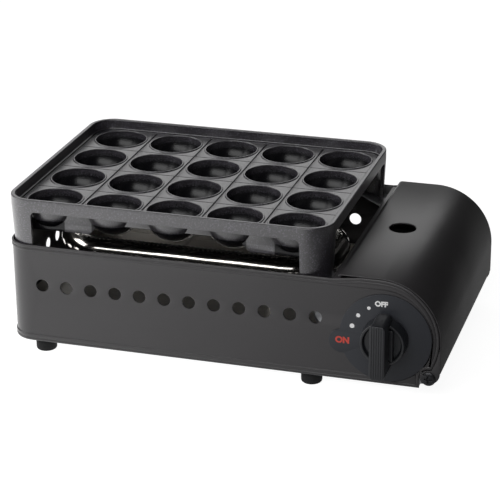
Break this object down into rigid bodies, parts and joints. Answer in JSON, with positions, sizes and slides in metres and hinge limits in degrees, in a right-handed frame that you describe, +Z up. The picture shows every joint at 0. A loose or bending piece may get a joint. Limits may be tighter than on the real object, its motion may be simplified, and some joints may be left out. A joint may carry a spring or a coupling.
{
  "type": "table-top gas takoyaki cooker",
  "caption": "Table-top gas cooker with a lift-off cast plate of round cups over a ring burner, a hinged gas-cartridge cover at the right and a turning ignition knob.",
  "frame": {"origin": "on the table under the middle of the whole cooker's box, knob included", "axes": "+X towards the gas bay on the right, +Y away from the knob side, +Z up"},
  "size_m": [0.3584, 0.245, 0.1331],
  "materials": {
    "plate_coating": "dark grey baked non-stick coating with a fine speckle on cast aluminium",
    "body_paint": "satin charcoal paint with a fine metallic fleck",
    "knob_plastic": "moulded dark grey plastic, lightly textured",
    "dial_print": null,
    "stainless": "bright stainless steel, faintly heat tinted",
    "zinc_plate": "zinc-plated pressed steel",
    "valve_casting": "raw die casting",
    "brass": "turned brass",
    "screw_black": "blackened steel",
    "rubber": "matt black rubber",
    "ceramic": "glazed white ceramic",
    "magnet": "grey sintered magnet",
    "igniter_plastic": "red moulded plastic",
    "lead_sleeve": "pale silicone sleeve"
  },
  "bodies": {
    "root": {"base_pan": "zinc_plate", "bay_partition": "body_paint", "body_shell": "body_paint", "bracket_screw_left": "zinc_plate", "bracket_screw_right": "zinc_plate", "burner_lower_shell": "stainless", "burner_post_left": "zinc_plate", "burner_post_right": "zinc_plate", "burner_stay": "stainless", "burner_upper_shell": "stainless", "cartridge_collar": "zinc_plate", "cartridge_cradle": "zinc_plate", "cartridge_magnet_left": "magnet", "cartridge_magnet_right": "magnet", "dial_plate": "dial_print", "electrode_insulator": "ceramic", "foot_front_left": "rubber", "foot_front_right": "rubber", "foot_rear_left": "rubber", "foot_rear_right": "rubber", "foot_screw_front_left": "zinc_plate", "foot_screw_front_right": "zinc_plate", "foot_screw_rear_left": "zinc_plate", "foot_screw_rear_right": "zinc_plate", "gas_nozzle": "brass", "gas_valve": "valve_casting", "hinge_bracket_front": "zinc_plate", "hinge_bracket_rear": "zinc_plate", "hinge_nut_front": "zinc_plate", "hinge_nut_rear": "zinc_plate", "hinge_screw_front": "screw_black", "hinge_screw_rear": "screw_black", "igniter": "igniter_plastic", "igniter_lead": "lead_sleeve", "mixing_tube": "zinc_plate", "plate_rest_front_left": "zinc_plate", "plate_rest_front_right": "zinc_plate", "plate_rest_rear_left": "zinc_plate", "plate_rest_rear_right": "zinc_plate", "reflector_tray": "stainless", "spark_electrode": "stainless", "tray_screw_front_left": "zinc_plate", "tray_screw_front_right": "zinc_plate", "tray_screw_rear_left": "zinc_plate", "tray_screw_rear_right": "zinc_plate", "valve_bracket": "zinc_plate", "valve_screw_lower": "zinc_plate", "valve_screw_upper": "zinc_plate"},
    "plate": {"cooking_plate": "plate_coating"},
    "cover": {"cartridge_cover": "body_paint"},
    "knob": {"knob": "knob_plastic", "valve_spindle": "brass", "ignition_cam": "igniter_plastic"}
  },
  "joints": [
    {"name": "plate_lift", "type": "slide", "parent": "root", "child": "plate", "axis": [0, 0, 1], "range_m": [0, 0.15]},
    {"name": "cover_hinge", "type": "hinge", "parent": "root", "child": "cover", "pos_m": [0.17, 0.01375, 0.0198], "axis": [0, 1, 0], "range_deg": [0, 95]},
    {"name": "knob_turn", "type": "hinge", "parent": "root", "child": "knob", "pos_m": [0.1356, -0.09345, 0.0499], "axis": [0, -1, 0], "range_deg": [0, 105]}
  ]
}
